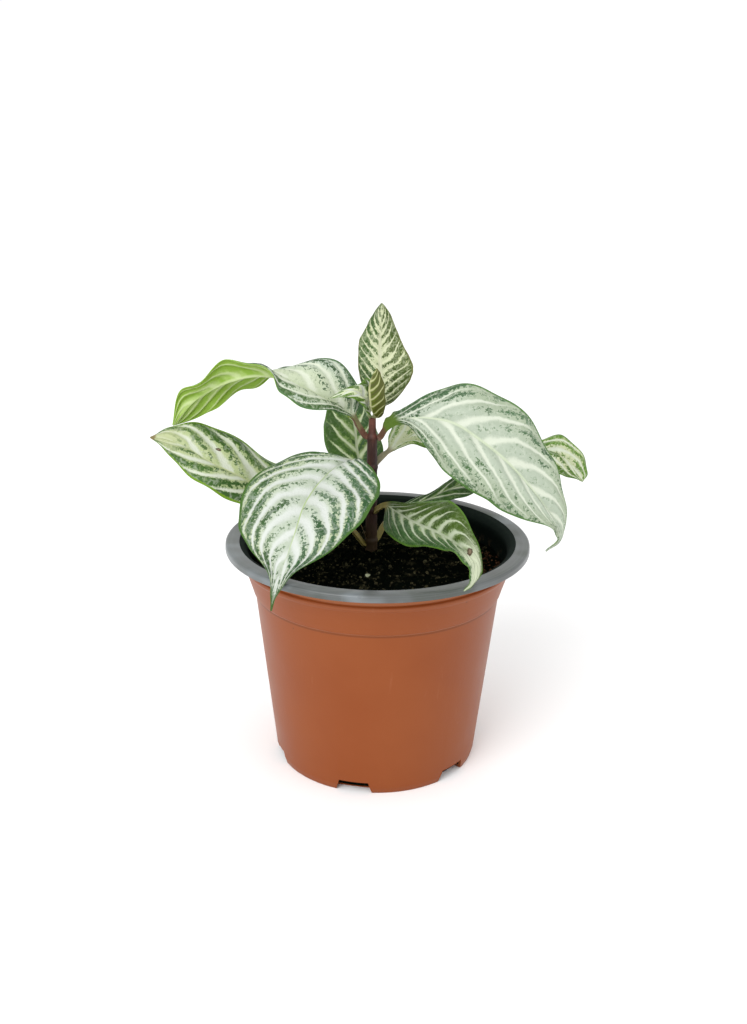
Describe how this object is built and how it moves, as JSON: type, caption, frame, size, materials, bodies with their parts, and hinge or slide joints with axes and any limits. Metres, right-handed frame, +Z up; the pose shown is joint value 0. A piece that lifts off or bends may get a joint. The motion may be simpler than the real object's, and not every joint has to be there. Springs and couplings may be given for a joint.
{
  "type": "potted zebra plant",
  "caption": "Young zebra plant with pale-veined, glossy green leaves, growing from soil in a two-tone nursery pot.",
  "frame": {"origin": "centre of the pot's flat underside, on the pot's axis", "axes": "+Z up along the pot's axis; -Y towards the plant's show side; +X to the right as seen from that side"},
  "size_m": [0.1791, 0.1209, 0.1803],
  "materials": {
    "pot_terracotta": "smooth satin terracotta plastic",
    "soil": "damp crumbly potting soil",
    "stem": "smooth purple-brown stem",
    "leaf": "satin green leaf with white and cream veins"
  },
  "bodies": {
    "root": {"pot": "pot_terracotta", "soil": "soil", "stem": "stem", "leaf_upper_right": "leaf", "leaf_upper_left": "leaf", "leaf_front_left": "leaf", "leaf_back_right": "leaf", "leaf_front_right": "leaf", "leaf_back_left": "leaf", "leaf_lower_left": "leaf", "leaf_low_right": "leaf", "leaf_top": "leaf", "leaf_young_left": "leaf", "leaf_young_folded": "leaf"}
  },
  "joints": []
}
